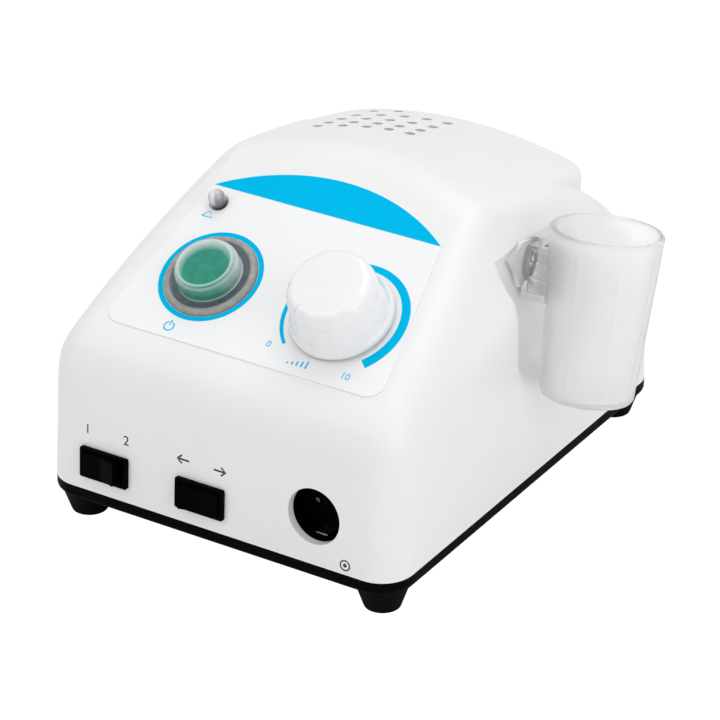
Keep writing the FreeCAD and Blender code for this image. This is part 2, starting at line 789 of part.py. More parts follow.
def rocker_paddle(x, pressed):
    outline = [(-paddle_half, paddle_end), (0, 1.9), (paddle_half, paddle_end), (5.2, 0.0), (3.0, -4.2)]
    outline += [(-3.0, -4.2), (-5.2, 0.0)]
    path = [Vec(a, paddle_side, b) for a, b in outline]
    paddle = Part.Face(Part.makePolygon(path + [path[0]])).extrude(Vec(0, -2 * paddle_side, 0))
    paddle = paddle.fuse(Part.makeCylinder(0.82, 8.0, Vec(0, -4.0, pivot_depth), Vec(0, 1, 0)))
    paddle = paddle.removeSplitter()
    paddle.rotate(Vec(0, 0, pivot_depth), Vec(0, 1, 0), pressed * rocker_tilt)
    return placed(paddle, front_frame(x, rocker_mid_up))


def rocker_terminals():
    blades = []
    for x in (mode_x, direction_x):
        for dx in (-4.5, 0, 4.5):
            blade = box(dx - 1.2, dx + 1.2, -0.3, 0.3, -22, -16)
            blades.append(placed(blade, front_frame(x, rocker_mid_up)))
    return group(blades)


# Motor socket behind the round hole in the front
def motor_socket_shell():
    shell = rod(9.6, -16, -wall - 0.1)
    ears = plate(2 * socket_ear + 6, 6, 2, 2.9, 0, 0, -jack_boss_deep - 2)
    ears.rotate(Vec(0, 0, 0), Vec(0, 0, 1), ear_angle)
    shell = shell.fuse(ears).removeSplitter().cut(rod(8.8, -14.5, 0)).cut(rod(7.6, -20, 0))
    for p in ear_spots():
        shell = shell.cut(rod(1.3, -12, 0, p.x, p.y))
    return placed(shell, front_frame(jack_x, jack_up))


def contact_spots():
    return [polar(4.6, a) for a in (0, 45, 90, 135, 180)]


def motor_socket_insert():
    core = rod(8.75, -14.5, -9.0).fuse(rod(7.5, -17.5, -14.5)).removeSplitter()
    core = core.cut(box(-1.4, 1.4, 6.9, 9, -11.5, -8))
    for p in contact_spots():
        core = core.cut(rod(0.85, -18, -8, p.x, p.y))
    core = core.cut(box(-2.0, 2.0, -7.5, -6.9, -13, -8))
    return placed(core, front_frame(jack_x, jack_up))


def motor_socket_contacts():
    pins = [rod(0.8, -20.5, -9.4, p.x, p.y) for p in contact_spots()]
    pins.append(box(-1.9, 1.9, -7.45, -6.95, -12.8, -4.5))
    return placed(group(pins), front_frame(jack_x, jack_up))


def socket_screws():
    screws = []
    for p in ear_spots():
        s = pan_screw(1.2, 2.2, 4.6, -1)
        screws.append(placed(s, front_frame(jack_x + p.x, jack_up + p.y, -jack_boss_deep - 2)))
    return group(screws)


# Cup holder on the right side
def cup_frame():
    turn = FreeCAD.Rotation(Vec(1, 0, 0), -cup_lean)
    base = Vec(cup_x, cup_y, cup_z) - turn.multVec(Vec(0, 0, cup_length))
    return FreeCAD.Placement(base, turn)


def cup_radius_at(h):
    return cup_bottom_radius + (cup_rim_radius - 0.7 - cup_bottom_radius) * h / cup_length


def holder_cup():
    rb, rt, top = cup_bottom_radius, cup_rim_radius, cup_length
    outline = [(0, 0), (rb - 1.2, 0), (rb, 1.2), (cup_radius_at(top - 2.2), top - 2.2), (rt, top - 1.4)]
    outline += [(rt, top - 0.4), (rt - 0.4, top), (rt - 1.5, top), (rt - 2.0, top - 1.0)]
    outline += [(rb - cup_wall, 1.6), (0, 1.6)]
    cup = turned(outline)
    for i in range(cup_flutes):
        a = 360 / cup_flutes * (i + 0.5)
        away = flute_radius - 0.45
        foot = polar(cup_radius_at(4) + away, a) + Vec(0, 0, 4)
        head = polar(cup_radius_at(41) + away, a) + Vec(0, 0, 41)
        cup = cup.cut(Part.makeCylinder(flute_radius, (head - foot).Length, foot, head - foot))
    reach = cup_radius_at(rail_low) - 0.6
    rail = box(-cup_x + pad_x + 5.6, -reach, -rail_half, rail_half, rail_low, rail_high)
    return placed(cup.fuse(rail).removeSplitter(), cup_frame())


def bracket_outline(x):
    """Rounded head with a slanting tongue at its front, seen from the side."""
    yz = [(-1.9, 80.3), (5.4, 69.0), (10.8, 68.9), (14.0, 64.4), (19.0, 64.4), (22.4, 73.6), (19.0, 77.4)]
    yz += [(15.4, 79.9), (11.3, 81.6), (6.3, 82.7), (1.4, 80.5)]
    path = [Vec(x, y, z) for y, z in yz]
    return Part.Face(Part.makePolygon(path + [path[0]]))


def holder_bracket():
    face_x = pad_x + 0.3
    body = bracket_outline(face_x).extrude(Vec(bracket_sheet, 0, 0))
    stub = Part.makeCylinder(pivot_radius, 8.5, Vec(face_x - 5.9, pivot_y, pivot_z), Vec(1, 0, 0))
    hub = Part.makeCylinder(6.5, 0.5, Vec(pad_x, pivot_y, pivot_z), Vec(1, 0, 0))
    body = body.fuse([stub, hub])
    frame = cup_frame()
    block_face = -cup_x + face_x + bracket_sheet - 0.6
    edge = rail_half + 2.2
    saddle = box(block_face, -cup_radius_at(30) + 4.0, -edge, edge + 1.2, rail_low - 1.5, rail_high + 1)
    saddle = saddle.cut(turned([(0, 0), (cup_radius_at(0), 0), (cup_radius_at(50), 50), (0, 50)]))
    for h in (rail_low + 0.5, rail_low + 5.0, rail_low + 9.5):
        saddle = saddle.cut(box(block_face + 1.6, 0, -edge - 1, -rail_half - 0.9, h, h + 3.3))
    body = body.fuse(placed(saddle, frame)).removeSplitter()
    slot = box(-cup_x + pad_x + 5.5, -10, -rail_half - 0.1, rail_half + 0.1, rail_low, 60)
    body = body.cut(placed(slot, frame))
    body = body.cut(Part.makeCylinder(1.35, 9, Vec(pad_x - 8, pivot_y, pivot_z), Vec(1, 0, 0)))
    return body


def pivot_washer():
    x0 = pad_x - 6.6
    washer = Part.makeCylinder(6.5, 1.0, Vec(x0, pivot_y, pivot_z), Vec(1, 0, 0))
    return washer.cut(Part.makeCylinder(1.6, 4, Vec(x0 - 1, pivot_y, pivot_z), Vec(1, 0, 0)))


def pivot_screw():
    s = pan_screw(1.3, 2.8, 7.0, -1)
    s.rotate(Vec(0, 0, 0), Vec(0, 1, 0), 90)
    s.translate(Vec(pad_x - 6.6, pivot_y, pivot_z))
    return s


# Transformer
def transformer_core():
    stack = box(core_left, core_right, core_front, core_back, core_foot, core_top)
    for y in (core_front + core_leg, core_back - 2 * core_leg):
        low, high = core_foot + core_leg, core_top - core_leg
        stack = stack.cut(box(core_left - 1, core_right + 1, y, y + core_leg, low, high))
    return stack


def coil_ring(grow_out, grow_in, z0, z1, corner):
    """Rectangular ring round the middle leg between two growths of its outline."""
    deep = leg_back - leg_front
    wide = core_right - core_left
    outer = plate(wide + 2 * grow_out, deep + 2 * min(grow_out, core_leg - 0.4), z1 - z0, corner,
                  frame_mid_x, leg_mid, z0)
    inner = plate(wide + 2 * grow_in, deep + 2 * grow_in, z1 - z0 + 2, 0.3, frame_mid_x, leg_mid, z0 - 1)
    return outer.cut(inner)


def coil_former():
    parts = [coil_ring(1.2, 0.15, coil_low, coil_high, 0.5)]
    middle_z = (coil_low + coil_high) / 2
    for z in (coil_low, middle_z - 0.5, coil_high - 1.0):
        parts.append(coil_ring(9.0, 0.15, z, z + 1.0, 1.5))
    return fuse_all(parts)


def winding(z0, z1):
    return coil_ring(8.2, 1.2, z0, z1, 5.0)


def primary_winding():
    return winding(coil_low + 1.0, (coil_low + coil_high) / 2 - 0.5)


def secondary_winding():
    return winding((coil_low + coil_high) / 2 + 0.5, coil_high - 1.0)


def transformer_frame():
    t = frame_sheet
    x0, x1 = frame_mid_x - 12, frame_mid_x + 12
    strap = box(x0, x1, core_front - t, core_back + t, core_foot, core_top + t)
    strap = strap.cut(box(x0 - 1, x1 + 1, core_front, core_back, core_foot - 1, core_top))
    for y0, y1 in ((core_front - 13, core_front - t), (core_back + t, core_back + 13)):
        strap = strap.fuse(box(x0, x1, y0, y1, core_foot, core_foot + t))
    strap = strap.removeSplitter()
    for x, y in frame_spots():
        strap = strap.cut(rod(2.1, core_foot - 1, core_foot + 3, x, y))
    return strap


# Control board and what is soldered to it
def control_board():
    board = box(board_left, board_right, board_front, board_back, board_z, board_top)
    for x, y in board_spots():
        board = board.cut(rod(1.35, board_z - 1, board_top + 1, x, y))
    return board


def filter_capacitor():
    can = rod(9.0, board_top, board_top + 31, 26, -30)
    top = [e for e in can.Edges if middle(e).z > board_top + 30 and e.Curve.TypeId == "Part::GeomCircle"]
    return can.makeFillet(1.0, top)


def small_capacitors():
    return group([rod(4.0, board_top, board_top + 12, x, y) for x, y in ((42, -34), (42, -23), (20, 16))])


def bridge_rectifier():
    body = plate(18, 4.6, 16, 0.6, 24.5, -10, board_top + 2)
    legs = []
    for x in (18, 22.3, 26.7, 31):
        legs.append(box(x - 0.5, x + 0.5, -10.4, -9.6, board_top, board_top + 2.5))
    return fuse_all([body] + legs)


def reversing_relay():
    case = plate(16, 20, 15, 0.8, 42, -4, board_top + 0.5)
    legs = [rod(0.5, board_top, board_top + 1, 42 + dx, -4 + dy) for dx in (-6, 6) for dy in (-7, 7)]
    return fuse_all([case] + legs)


def heat_sink():
    left, high, deep, fin = 19.0, 20.0, 13.0, 1.5
    slab = box(left, left + 20.5, sink_front, sink_front + 3, board_top, board_top + high)
    fins = []
    for i in range(6):
        x = left + i * 3.8
        fins.append(box(x, x + fin, sink_front + 3, sink_front + deep, board_top, board_top + high))
    sink = fuse_all([slab] + fins)
    bore = Part.makeCylinder(1.3, 5, Vec(sink_x, sink_front - 1, board_top + clamp_up), Vec(0, 1, 0))
    return sink.cut(bore)


def power_transistor():
    x0, x1, back = sink_x - 5, sink_x + 5, sink_front - tab_thick
    tab = box(x0, x1, back, sink_front, board_top + 3, board_top + 18)
    block = box(x0, x1, back - 3.2, back, board_top + 3, board_top + 11.5)
    legs = []
    for d in (-2.5, 0, 2.5):
        x = sink_x + d
        legs.append(box(x - 0.4, x + 0.4, back - 1.4, back - 0.8, board_top, board_top + 3.5))
    body = fuse_all([tab, block] + legs)
    bore = Part.makeCylinder(1.6, 5, Vec(sink_x, sink_front - 3, board_top + clamp_up), Vec(0, 1, 0))
    return body.cut(bore)


def control_chip():
    case = plate(6.4, 19, 3.2, 0.3, 44, 22, board_top + 0.8)
    legs = []
    for side in (-1, 1):
        for i in range(7):
            x, y = 44 + side * 3.6, 22 + 2.54 * (i - 3)
            legs.append(box(x - 0.5, x + 0.5, y - 0.25, y + 0.25, board_top, board_top + 2))
    return fuse_all([case] + legs)


def resistors():
    rods = []
    for i in range(6):
        x, y = 26.0 + 3.0 * (i % 3), 1.0 + 10.0 * (i // 3)
        rods.append(Part.makeCylinder(1.2, 7, Vec(x, y, board_top + 1.2), Vec(0, 1, 0)))
    return group(rods)


def header_spots():
    """Centre and width of each wire header: speed, motor, foot control, transformer."""
    return [(27, -48.5, 10), (39, -48.5, 10), (50, -18, 6), (18, 7, 6)]


def wire_headers():
    blocks = []
    for x, y, w in header_spots():
        block = box(x - w / 2, x + w / 2, y - 2.8, y + 2.8, board_top, board_top + 7)
        block = block.cut(box(x - w / 2 + 1, x + w / 2 - 1, y - 1.6, y + 1.8, board_top + 4, board_top + 8))
        blocks.append(block)
    return group(blocks)


# Rear connectors
def mains_inlet():
    shroud = plate(inlet_wide, inlet_high, 17, 3.8, 0, 0, -17)
    body = plate(30.8, 23.4, 2.0, 3.0).fuse(shroud).removeSplitter()
    body = body.cut(plate(24.0, 16.6, 20, 3.0, 0, 0, -14))
    for dx, dy in ((-7, -2), (0, 2), (7, -2)):
        body = body.cut(box(dx - 1.05, dx + 1.05, dy - 2.05, dy + 2.05, -20, 0))
    return placed(body, rear_frame(inlet_x, inlet_up))


def inlet_pins():
    pins = [box(x - 1, x + 1, y - 2, y + 2, -22, -3) for x, y in ((-7, -2), (0, 2), (7, -2))]
    return placed(group(pins), rear_frame(inlet_x, inlet_up))


def fuse_holder():
    body = rod(8.0, 0, 2).fuse(rod(fuse_radius, -24, 0)).removeSplitter().cut(rod(3.4, -22.5, 4))
    return placed(body, rear_frame(fuse_x, fuse_up))


def fuse_cap():
    cap = rod(fuse_cap_radius, 2, fuse_cap_out).fuse(rod(3.36, -2, 2)).removeSplitter()
    cap = cap.cut(box(-4, 4, -0.6, 0.6, fuse_cap_out - 1.2, fuse_cap_out + 1))
    return placed(cap, rear_frame(fuse_x, fuse_up))


def glass_fuse():
    tube = fuse_all([rod(2.4, -22, -2), rod(2.6, -22.5, -17.5), rod(2.6, -7, -2)])
    return placed(tube, rear_frame(fuse_x, fuse_up))


def foot_jack():
    body = rod(foot_jack_radius, -4, 4).fuse(plate(14, 12, 22, 0.8, 0, 0, -wall - 22)).removeSplitter()
    return placed(body.cut(rod(3.2, -22, 5)), rear_frame(foot_jack_x, foot_jack_up))


def foot_jack_nut():
    nut = hexagon(14.0, 0.0, 2.4).cut(rod(foot_jack_radius, -1, 4))
    return placed(nut, rear_frame(foot_jack_x, foot_jack_up))


# Wiring; each run ends on a terminal, a header's floor or the board
def into_header(start, spot, dx, high):
    x, y, w = header_spots()[spot]
    return [start, Vec(x + dx, y, high), Vec(x + dx, y, header_floor)]


def mains_wires():
    """Inlet to switch, fuse to switch, switch and inlet to the primary winding, earth to the frame."""
    tail = [rear_frame(inlet_x + dx, inlet_up + dy, -22).Base for dx, dy in ((-7, -2), (0, 2), (7, -2))]
    blade = []
    for u, v in ((-5, -4), (5, 4), (-5, 4)):
        blade.append(panel_frame(panel_u_power + u, panel_v_power + v, -30).Base)
    back = rear_frame(fuse_x, fuse_up, -24).Base
    low, side, lane = 22.0, -49.0, 12.0
    winding_side = frame_mid_x - (core_right - core_left) / 2 - 8.2
    start = tail[0] + Vec(0, -1.3, 0)
    runs = [[tail[0], start, Vec(side, start.y, low), Vec(side, -38, low), blade[0]]]
    start = back + Vec(0, -1.4, 0)
    runs.append([back, start, Vec(lane, start.y, start.z), Vec(lane, -20, start.z), blade[1]])
    runs.append([blade[2], Vec(-44, -20, 32), Vec(-44, 5, 32), Vec(winding_side, 5, 32)])
    start = tail[2] + Vec(0, -1.4, 0)
    high, x = 40.0, -36.5
    bend = [Vec(start.x, start.y, high), Vec(x, start.y, high), Vec(x, start.y, 36)]
    runs.append([tail[2], start] + bend + [Vec(x, leg_back + 8.2, 36)])
    start = tail[1] + Vec(0, -1.4, 0)
    runs.append([tail[1], start, Vec(start.x, start.y, 15.4), Vec(-27.2, 56, core_foot + frame_sheet + 0.8)])
    return group([tube_along(points, 0.8) for points in runs])


def output_wires():
    """Secondary winding to the board, board to the motor socket and to the foot control jack."""
    runs = []
    edge = frame_mid_x + (core_right - core_left) / 2 + 8.2
    for i in range(2):
        start = Vec(edge, 3 + 6 * i, 46)
        runs.append(into_header(start, 3, -1.0 + 2.2 * i, 34))
    for i, p in enumerate(contact_spots()[1:4]):
        start = front_frame(jack_x + p.x, jack_up + p.y, -20.5).Base
        runs.append(into_header(start, 1, 3.0 - 3.0 * i, 30))
    for i in range(2):
        start = rear_frame(foot_jack_x - 3 + 6 * i, foot_jack_up, -wall - 22).Base
        x = 51.6 + 2.2 * i
        turn = [start, Vec(x, 47 - 2 * i, start.z + 4), Vec(x, -18, start.z + 4)]
        x, y, w = header_spots()[2]
        turn += [Vec(x - 1.0 + 2.0 * i, y, start.z), Vec(x - 1.0 + 2.0 * i, y, header_floor)]
        runs.append(turn)
    return group([tube_along(points, 0.6) for points in runs])


def control_wires():
    """Speed control, lamp and the two rocker switches to the board."""
    runs = []
    for i in range(3):
        start = panel_frame(panel_u_knob - 5 + 5 * i, panel_v_knob - 20, -9.75).Base
        runs.append(into_header(start, 0, -3.0 + 3.0 * i, 34))
    for k, x in enumerate((mode_x, direction_x)):
        for i in range(3):
            start = front_frame(x - 4.5 + 4.5 * i, rocker_mid_up, -22).Base
            y, z = -45.0 + 1.5 * i + 6.5 * k, start.z + 4 * k
            turn = [start, Vec(start.x, start.y + 1.2, z), Vec(start.x, y, z), Vec(11.5, y, z)]
            runs.append(turn + [Vec(15.2, y, z), Vec(15.2, y, board_top)])
    for i in range(2):
        u = panel_u_lamp + (lead_half if i else -lead_half)
        start = panel_frame(u, panel_v_lamp, lead_end).Base
        y, z = -21.0 + 1.8 * i, 64.0
        runs.append([start, Vec(start.x, y, z), Vec(15.3, y, z), Vec(15.3, y, board_top)])
    return group([tube_along(points, 0.5) for points in runs])


def trimmed(wires, *others):
    """Wires that end on the surfaces of the pieces that they meet."""
    for other in others:
        wires = wires.cut(other)
    return wires


def footprint_middle():
    """Middle of the whole object's footprint: left wall to cup, raised rocker end to fuse cap."""
    tilt = math.radians(rocker_tilt)
    raised = pivot_depth + (paddle_end - pivot_depth) * math.cos(tilt) + paddle_half * math.sin(tilt)
    front = front_frame(0, rocker_mid_up - paddle_side, raised).Base.y
    rear = rear_frame(fuse_x, fuse_up - fuse_cap_radius, fuse_cap_out).Base.y
    return Vec((cup_x + cup_rim_radius - half_width) / 2, round((front + rear) / 2, 2), 0)


def build():
    pieces = {
        "upper_housing": upper_housing(), "base_plate": base_plate(), "rubber_feet": rubber_feet(),
        "foot_screws": foot_screws(), "panel_label": panel_label(), "button_boot": button_boot(),
        "button_cap": button_cap(), "power_switch_body": power_switch_body(),
        "switch_ring_nut": switch_ring_nut(), "button_spring": button_spring(),
        "switch_terminals": switch_terminals(), "speed_knob": speed_knob(),
        "knob_set_screw": knob_set_screw(), "speed_shaft": speed_shaft(),
        "potentiometer_body": potentiometer_body(), "potentiometer_nut": potentiometer_nut(),
        "potentiometer_washer": potentiometer_washer(),
        "potentiometer_terminals": potentiometer_terminals(),
        "overload_lamp": overload_lamp(), "lamp_clip": lamp_clip(),
        "mode_switch_body": rocker_body(mode_x), "mode_rocker": rocker_paddle(mode_x, -1),
        "direction_switch_body": rocker_body(direction_x),
        "direction_rocker": rocker_paddle(direction_x, 1), "rocker_terminals": rocker_terminals(),
        "motor_socket_shell": motor_socket_shell(), "motor_socket_insert": motor_socket_insert(),
        "motor_socket_contacts": motor_socket_contacts(), "socket_screws": socket_screws(),
        "holder_cup": holder_cup(), "holder_bracket": holder_bracket(),
        "pivot_washer": pivot_washer(), "pivot_screw": pivot_screw(),
        "transformer_core": transformer_core(), "coil_former": coil_former(),
        "primary_winding": primary_winding(), "secondary_winding": secondary_winding(),
        "transformer_frame": transformer_frame(), "transformer_screws": transformer_screws(),
        "control_board": control_board(), "board_screws": board_screws(),
        "filter_capacitor": filter_capacitor(), "small_capacitors": small_capacitors(),
        "bridge_rectifier": bridge_rectifier(), "reversing_relay": reversing_relay(),
        "heat_sink": heat_sink(), "power_transistor": power_transistor(),
        "control_chip": control_chip(), "resistors": resistors(), "wire_headers": wire_headers(),
        "mains_inlet": mains_inlet(), "inlet_pins": inlet_pins(), "fuse_holder": fuse_holder(),
        "fuse_cap": fuse_cap(), "glass_fuse": glass_fuse(), "foot_jack": foot_jack(),
        "foot_jack_nut": foot_jack_nut(), "mains_wires": mains_wires(),
        "output_wires": output_wires(), "control_wires": control_wires(),
    }
    meets = {
        "mains_wires": ["switch_terminals", "primary_winding", "inlet_pins"],
        "output_wires": ["foot_jack", "motor_socket_contacts", "secondary_winding"],
        "control_wires": ["potentiometer_terminals", "rocker_terminals", "overload_lamp",
                          "transformer_core"],
    }
    for name, others in meets.items():
        pieces[name] = trimmed(pieces[name], *[pieces[k] for k in others])
    origin = footprint_middle()
    for name, shape in pieces.items():
        shape.translate(-origin)
        export(name, shape)
    return pieces


pieces = build()
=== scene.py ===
import math
import bmesh
import bpy
import numpy as np
from mathutils import Matrix, Vector


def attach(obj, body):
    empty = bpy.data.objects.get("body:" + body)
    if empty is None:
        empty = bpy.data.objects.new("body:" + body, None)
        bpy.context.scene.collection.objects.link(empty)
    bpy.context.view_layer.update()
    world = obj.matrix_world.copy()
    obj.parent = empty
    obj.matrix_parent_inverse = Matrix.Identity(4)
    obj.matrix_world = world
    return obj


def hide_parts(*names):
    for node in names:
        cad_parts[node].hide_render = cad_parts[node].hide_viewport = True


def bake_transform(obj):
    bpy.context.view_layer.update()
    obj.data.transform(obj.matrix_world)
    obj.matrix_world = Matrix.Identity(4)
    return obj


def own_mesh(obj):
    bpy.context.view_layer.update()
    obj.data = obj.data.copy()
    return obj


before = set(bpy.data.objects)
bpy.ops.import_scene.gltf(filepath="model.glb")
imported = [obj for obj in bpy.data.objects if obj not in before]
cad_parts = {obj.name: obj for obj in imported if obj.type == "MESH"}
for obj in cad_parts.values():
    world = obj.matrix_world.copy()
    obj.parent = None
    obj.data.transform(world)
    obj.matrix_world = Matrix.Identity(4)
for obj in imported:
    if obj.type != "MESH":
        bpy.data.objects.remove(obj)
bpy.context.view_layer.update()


# Upper housing: one shell moulded in glossy white ABS, with a faint cloudiness in its colour,
# a patchy polish and a very fine grain. Four screws hold it from below, up through the feet.
class Look:
    """An output of a shader node. + - * on it add Math nodes; node() adds any other node."""

    def __init__(self, tree, socket=None):
        self.tree = tree
        self.socket = socket

    def node(self, kind, settings, inputs, output=0):
        """New node: first its settings, then a value or a link for each socket that is named."""
        made = self.tree.nodes.new(kind)
        for key, value in settings.items():
            setattr(made, key, value)
        for key, value in inputs.items():
            socket = made.inputs[key]
            if isinstance(value, Look):
                self.tree.links.new(value.socket, socket)
            else:
                socket.default_value = (*value, 1.0) if socket.type == "RGBA" else value
        return Look(self.tree, made.outputs[output])

    def math(self, operation, first, second=0.0):
        return self.node("ShaderNodeMath", {"operation": operation}, {0: first, 1: second})

    def __add__(self, other):
        return self.math("ADD", self, other)

    def __radd__(self, other):
        return self.math("ADD", other, self)

    def __sub__(self, other):
        return self.math("SUBTRACT", self, other)

    def __rsub__(self, other):
        return self.math("SUBTRACT", other, self)

    def __mul__(self, other):
        return self.math("MULTIPLY", self, other)

    def __rmul__(self, other):
        return self.math("MULTIPLY", other, self)

    def between(self, low, high):
        """0 at low, 1 at high, straight between them and flat beyond."""
        return self.node("ShaderNodeMapRange", {"clamp": True},
                         {"Value": self, "From Min": low, "From Max": high})

    def mix(self, first, second):
        """The colour that goes from first to second as this value goes from 0 to 1."""
        return self.node("ShaderNodeMix", {"data_type": "RGBA"}, {0: self, 6: first, 7: second}, 2)

    def noise(self, scale, detail=2.0, stretch=(1.0, 1.0, 1.0)):
        """Cloud pattern over object coordinates, scale in cells per metre."""
        where = self.node("ShaderNodeTexCoord", {}, {}, "Object")
        where = self.node("ShaderNodeMapping", {}, {"Vector": where, "Scale": stretch})
        return self.node("ShaderNodeTexNoise", {},
                         {"Vector": where, "Scale": scale, "Detail": detail}, "Fac")


def material(name, **fixed):
    """New material and its Look; a number that is the same all over is set on the shader itself."""
    mat = bpy.data.materials.new(name)
    mat.use_nodes = True
    shader = mat.node_tree.nodes["Principled BSDF"]
    for key, value in fixed.items():
        shader.inputs[key.replace("_", " ")].default_value = value
    return mat, Look(mat.node_tree)


def finish(look, colour, rough, grain, depth):
    """Feeds the shader a colour, a roughness and a grain raised by depth metres."""
    relief = look.node("ShaderNodeBump", {}, {"Distance": depth, "Height": grain}, "Normal")
    shader = look.tree.nodes["Principled BSDF"]
    for key, value in (("Base Color", colour), ("Roughness", rough), ("Normal", relief)):
        look.tree.links.new(value.socket, shader.inputs[key])


def plastic(name, colour, shade, rough, grain, depth, **fixed):
    """Moulded plastic: cloudy from colour to shade, patchy gloss around rough, fine grain."""
    mat, look = material(name, **fixed)
    finish(look, look.noise(38.0, 3.0).between(0.3, 0.7).mix(colour, shade),
           look.noise(95.0, 4.0) * 0.10 + (rough - 0.05), look.noise(grain, 3.0), depth)
    return mat


def dress(mat, *names):
    """Puts the material on CAD nodes."""
    for name in names:
        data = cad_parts[name].data
        data.materials.clear()
        data.materials.append(mat)


shell_white = plastic("shell_white", (0.80, 0.80, 0.805), (0.78, 0.78, 0.785), 0.42, 2600.0,
                      0.00002, Coat_Weight=0.18, Coat_Roughness=0.28)
dress(shell_white, "upper_housing")

# Base plate: a black tray of satin ABS that closes the housing from below.
# The four feet are moulded in matt black rubber with a coarser grain; a screw goes through each.
base_black = plastic("base_black", (0.001, 0.001, 0.001), (0.002, 0.002, 0.002), 0.45, 1500.0,
                     0.00003, Specular_IOR_Level=0.02)
dress(base_black, "base_plate")
feet_rubber = plastic("feet_rubber", (0.001, 0.001, 0.001), (0.003, 0.003, 0.003), 0.60, 900.0,
                      0.00006, Specular_IOR_Level=0.04)
dress(feet_rubber, "rubber_feet")

# Switches, connectors and other small black mouldings: hard black plastic with a low sheen.
# They snap or screw into the front, the panel and the rear wall, or stand on the control board.
part_black = plastic("part_black", (0.001, 0.001, 0.001), (0.002, 0.002, 0.002), 0.35, 1400.0,
                     0.00002, Specular_IOR_Level=0.01)
dress(part_black, "mode_switch_body", "mode_rocker", "direction_switch_body", "direction_rocker",
      "power_switch_body", "motor_socket_insert", "mains_inlet", "fuse_holder", "fuse_cap",
      "foot_jack", "bridge_rectifier", "power_transistor", "control_chip", "lamp_clip")


# Metal pieces: turned nickel, zinc-plated screws, brass contacts and the motor socket's shell,
# which is painted near-black as shade in the socket's hole.
# A stretched cloud gives each its fine drag marks.
def metal(name, colour, shade, rough, stretch):
    """Metal streaked from colour to shade along the stretch, with gloss and relief that follow."""
    mat, look = material(name, Metallic=1.0)
    streak = look.noise(420.0, 3.0, stretch)
    finish(look, streak.between(0.35, 0.65).mix(colour, shade), streak * 0.2 + (rough - 0.1),
           streak, 0.00002)
    return mat


nickel = metal("nickel", (0.62, 0.60, 0.56), (0.50, 0.49, 0.46), 0.28, (1.0, 1.0, 6.0))
dress(nickel, "switch_ring_nut", "speed_shaft", "potentiometer_body", "potentiometer_nut",
      "potentiometer_washer", "foot_jack_nut", "motor_socket_contacts", "pivot_screw",
      "pivot_washer")
zinc = metal("zinc", (0.55, 0.56, 0.58), (0.44, 0.45, 0.47), 0.38, (4.0, 4.0, 1.0))
dress(zinc, "foot_screws", "board_screws", "transformer_screws", "transformer_frame",
      "socket_screws", "knob_set_screw", "heat_sink")
brass = metal("brass", (0.68, 0.53, 0.26), (0.55, 0.42, 0.20), 0.30, (5.0, 1.0, 1.0))
dress(brass, "inlet_pins", "switch_terminals", "rocker_terminals", "potentiometer_terminals")
# Painted shade: the socket's shell is near-black so the deep socket hole reads as shaded.
socket_shell_painted_shade = metal("socket_shell_painted_shade", (0.012, 0.012, 0.013), (0.006, 0.006, 0.007), 0.45,
                    (1.0, 1.0, 6.0))
dress(socket_shell_painted_shade, "motor_socket_shell")

# Transformer: a stack of grey iron sheets around a nylon former with two enamelled copper coils.
# The sheets show as fine layers, the wire as turns.
core_iron = metal("core_iron", (0.16, 0.16, 0.17), (0.09, 0.09, 0.10), 0.55, (30.0, 0.3, 0.3))
dress(core_iron, "transformer_core")
enamel = metal("enamel", (0.55, 0.20, 0.07), (0.36, 0.11, 0.03), 0.30, (0.4, 0.4, 12.0))
dress(enamel, "primary_winding", "secondary_winding")
nylon = plastic("nylon", (0.66, 0.62, 0.52), (0.58, 0.54, 0.45), 0.45, 1200.0, 0.00002)
dress(nylon, "coil_former", "wire_headers")

# Control board and its parts: green solder mask, sleeved capacitors, a blue relay, tan resistors.
# Wires run from it to the switches, the sockets and the transformer; the fuse is a glass tube.
board_green = plastic("board_green", (0.02, 0.16, 0.06), (0.015, 0.11, 0.05), 0.35, 900.0, 0.00003)
dress(board_green, "control_board")
sleeve_blue = plastic("sleeve_blue", (0.02, 0.04, 0.16), (0.015, 0.03, 0.12), 0.35, 700.0, 0.00002)
dress(sleeve_blue, "filter_capacitor", "small_capacitors")
relay_blue = plastic("relay_blue", (0.03, 0.10, 0.42), (0.02, 0.08, 0.33), 0.4, 900.0, 0.00002)
dress(relay_blue, "reversing_relay", "mains_wires")
resistor_tan = plastic("resistor_tan", (0.50, 0.36, 0.20), (0.42, 0.30, 0.16), 0.4, 1200.0, 0.00002)
dress(resistor_tan, "resistors")
wire_red = plastic("wire_red", (0.42, 0.02, 0.02), (0.32, 0.015, 0.015), 0.4, 900.0, 0.00002)
dress(wire_red, "output_wires")
wire_grey = plastic("wire_grey", (0.22, 0.23, 0.25), (0.17, 0.18, 0.2), 0.45, 900.0, 0.00002)
dress(wire_grey, "control_wires")
fuse_glass = plastic("fuse_glass", (0.8, 0.85, 0.85), (0.7, 0.75, 0.75), 0.15, 900.0, 0.00001,
                     Transmission_Weight=0.8)
dress(fuse_glass, "glass_fuse")

# Panel film: a white sheet with a soft sheen, stuck on the housing's slope.
# What is printed on it is a thin layer of ink; places and heights are in mm on the slope.
film = plastic("film", (0.835, 0.84, 0.85), (0.815, 0.82, 0.835), 0.38, 2200.0, 0.00001)
dress(film, "panel_label")
middle = Matrix.Translation((-0.01525, -0.00208, 0))
slope = math.radians(28.92)
panel = middle @ Matrix.Translation((0, -0.06303, 0.06184)) @ Matrix.Rotation(slope, 4, "X")
film_top = 0.355
ink = plastic("ink", (0.0, 0.46, 0.775), (0.0, 0.445, 0.75), 0.60, 2000.0, 0.00001,
              Specular_IOR_Level=0.01)


